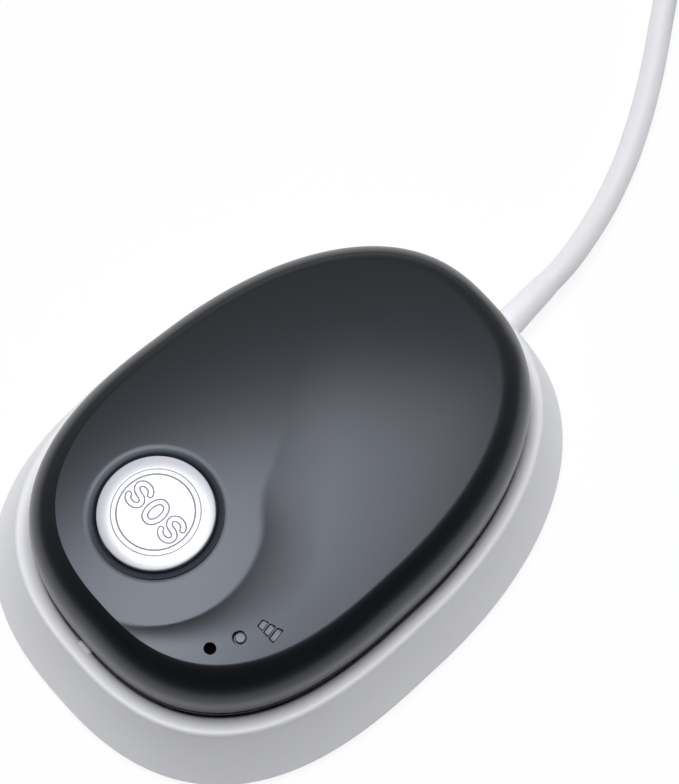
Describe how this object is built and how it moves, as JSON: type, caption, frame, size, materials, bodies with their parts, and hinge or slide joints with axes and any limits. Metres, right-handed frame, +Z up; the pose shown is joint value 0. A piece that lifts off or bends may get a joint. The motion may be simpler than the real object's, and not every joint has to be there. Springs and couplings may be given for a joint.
{
  "type": "personal alarm pendant with charging dock",
  "caption": "Egg-shaped personal alarm pendant with a call button, seated in a white magnetic charging dock with a captive USB lead.",
  "frame": {"origin": "on the table, under the middle of the dock", "axes": "+Y along the dock towards its lead, +X towards the side with the indicator lights, +Z up"},
  "size_m": [0.0625, 0.1654, 0.0227],
  "materials": {
    "charcoal_plastic": "satin",
    "black_plastic": "gloss",
    "black_rubber": "matt",
    "board_green": "satin",
    "steel": "brushed",
    "battery_foil": "satin",
    "dark_metal": "satin",
    "ceramic": "matt",
    "gold": "polished",
    "clear_plastic": "gloss",
    "slate_rubber": "satin",
    "silver_plastic": "satin silver",
    "ivory_plastic": "matt",
    "white_plastic": "satin",
    "grey_rubber": "matt",
    "wire_insulation": "satin",
    "white_rubber": "satin",
    "cord_jacket": "satin"
  },
  "bodies": {
    "dock": {"dock_shell": "white_plastic", "dock_base": "white_plastic", "dock_screws": "steel", "rubber_feet": "grey_rubber", "dock_board": "board_green", "charge_chip": "black_plastic", "contact_block": "black_plastic", "pin_barrels": "gold", "dock_magnets": "steel", "dock_wires": "wire_insulation", "strain_relief": "white_rubber", "cable_lead": "cord_jacket", "cable_coil": "cord_jacket", "cable_tail": "cord_jacket", "cable_tie": "grey_rubber", "plug_grip": "white_rubber", "plug_shell": "steel", "plug_tongue": "white_plastic", "plug_contacts": "gold"},
    "pendant": {"top_cover": "charcoal_plastic", "bottom_cover": "black_plastic", "cover_gasket": "black_rubber", "main_board": "board_green", "board_screws": "steel", "battery": "battery_foil", "speaker": "dark_metal", "vibration_motor": "steel", "gps_antenna": "ceramic", "cellular_module": "steel", "sim_holder": "steel", "tact_switch": "black_plastic", "microphone": "gold", "mic_boot": "black_rubber", "status_leds": "clear_plastic", "light_pipe": "clear_plastic", "signal_window": "clear_plastic", "charge_contacts": "gold", "keeper_discs": "steel", "button_seal": "slate_rubber"},
    "call_button": {"sos_button": "silver_plastic", "switch_plunger": "ivory_plastic"},
    "contact_pin_1": {"contact_pin_1": "gold"},
    "contact_pin_2": {"contact_pin_2": "gold"},
    "contact_pin_3": {"contact_pin_3": "gold"},
    "contact_pin_4": {"contact_pin_4": "gold"}
  },
  "joints": [
    {"name": "pendant_lift", "type": "slide", "parent": "dock", "child": "pendant", "axis": [0, 0, 1], "range_m": [0, 0.03]},
    {"name": "button_press", "type": "slide", "parent": "pendant", "child": "call_button", "axis": [0.0307, 0.0602, -0.9977], "range_m": [0, 0.0005], "stiffness_N_per_m": 4000, "springref_m": -0.0004},
    {"name": "pin_1_press", "type": "slide", "parent": "dock", "child": "contact_pin_1", "axis": [0, 0, -1], "range_m": [0, 0.0006], "stiffness_N_per_m": 1000, "springref_m": -0.0002},
    {"name": "pin_2_press", "type": "slide", "parent": "dock", "child": "contact_pin_2", "axis": [0, 0, -1], "range_m": [0, 0.0006], "stiffness_N_per_m": 1000, "springref_m": -0.0002},
    {"name": "pin_3_press", "type": "slide", "parent": "dock", "child": "contact_pin_3", "axis": [0, 0, -1], "range_m": [0, 0.0006], "stiffness_N_per_m": 1000, "springref_m": -0.0002},
    {"name": "pin_4_press", "type": "slide", "parent": "dock", "child": "contact_pin_4", "axis": [0, 0, -1], "range_m": [0, 0.0006], "stiffness_N_per_m": 1000, "springref_m": -0.0002}
  ]
}
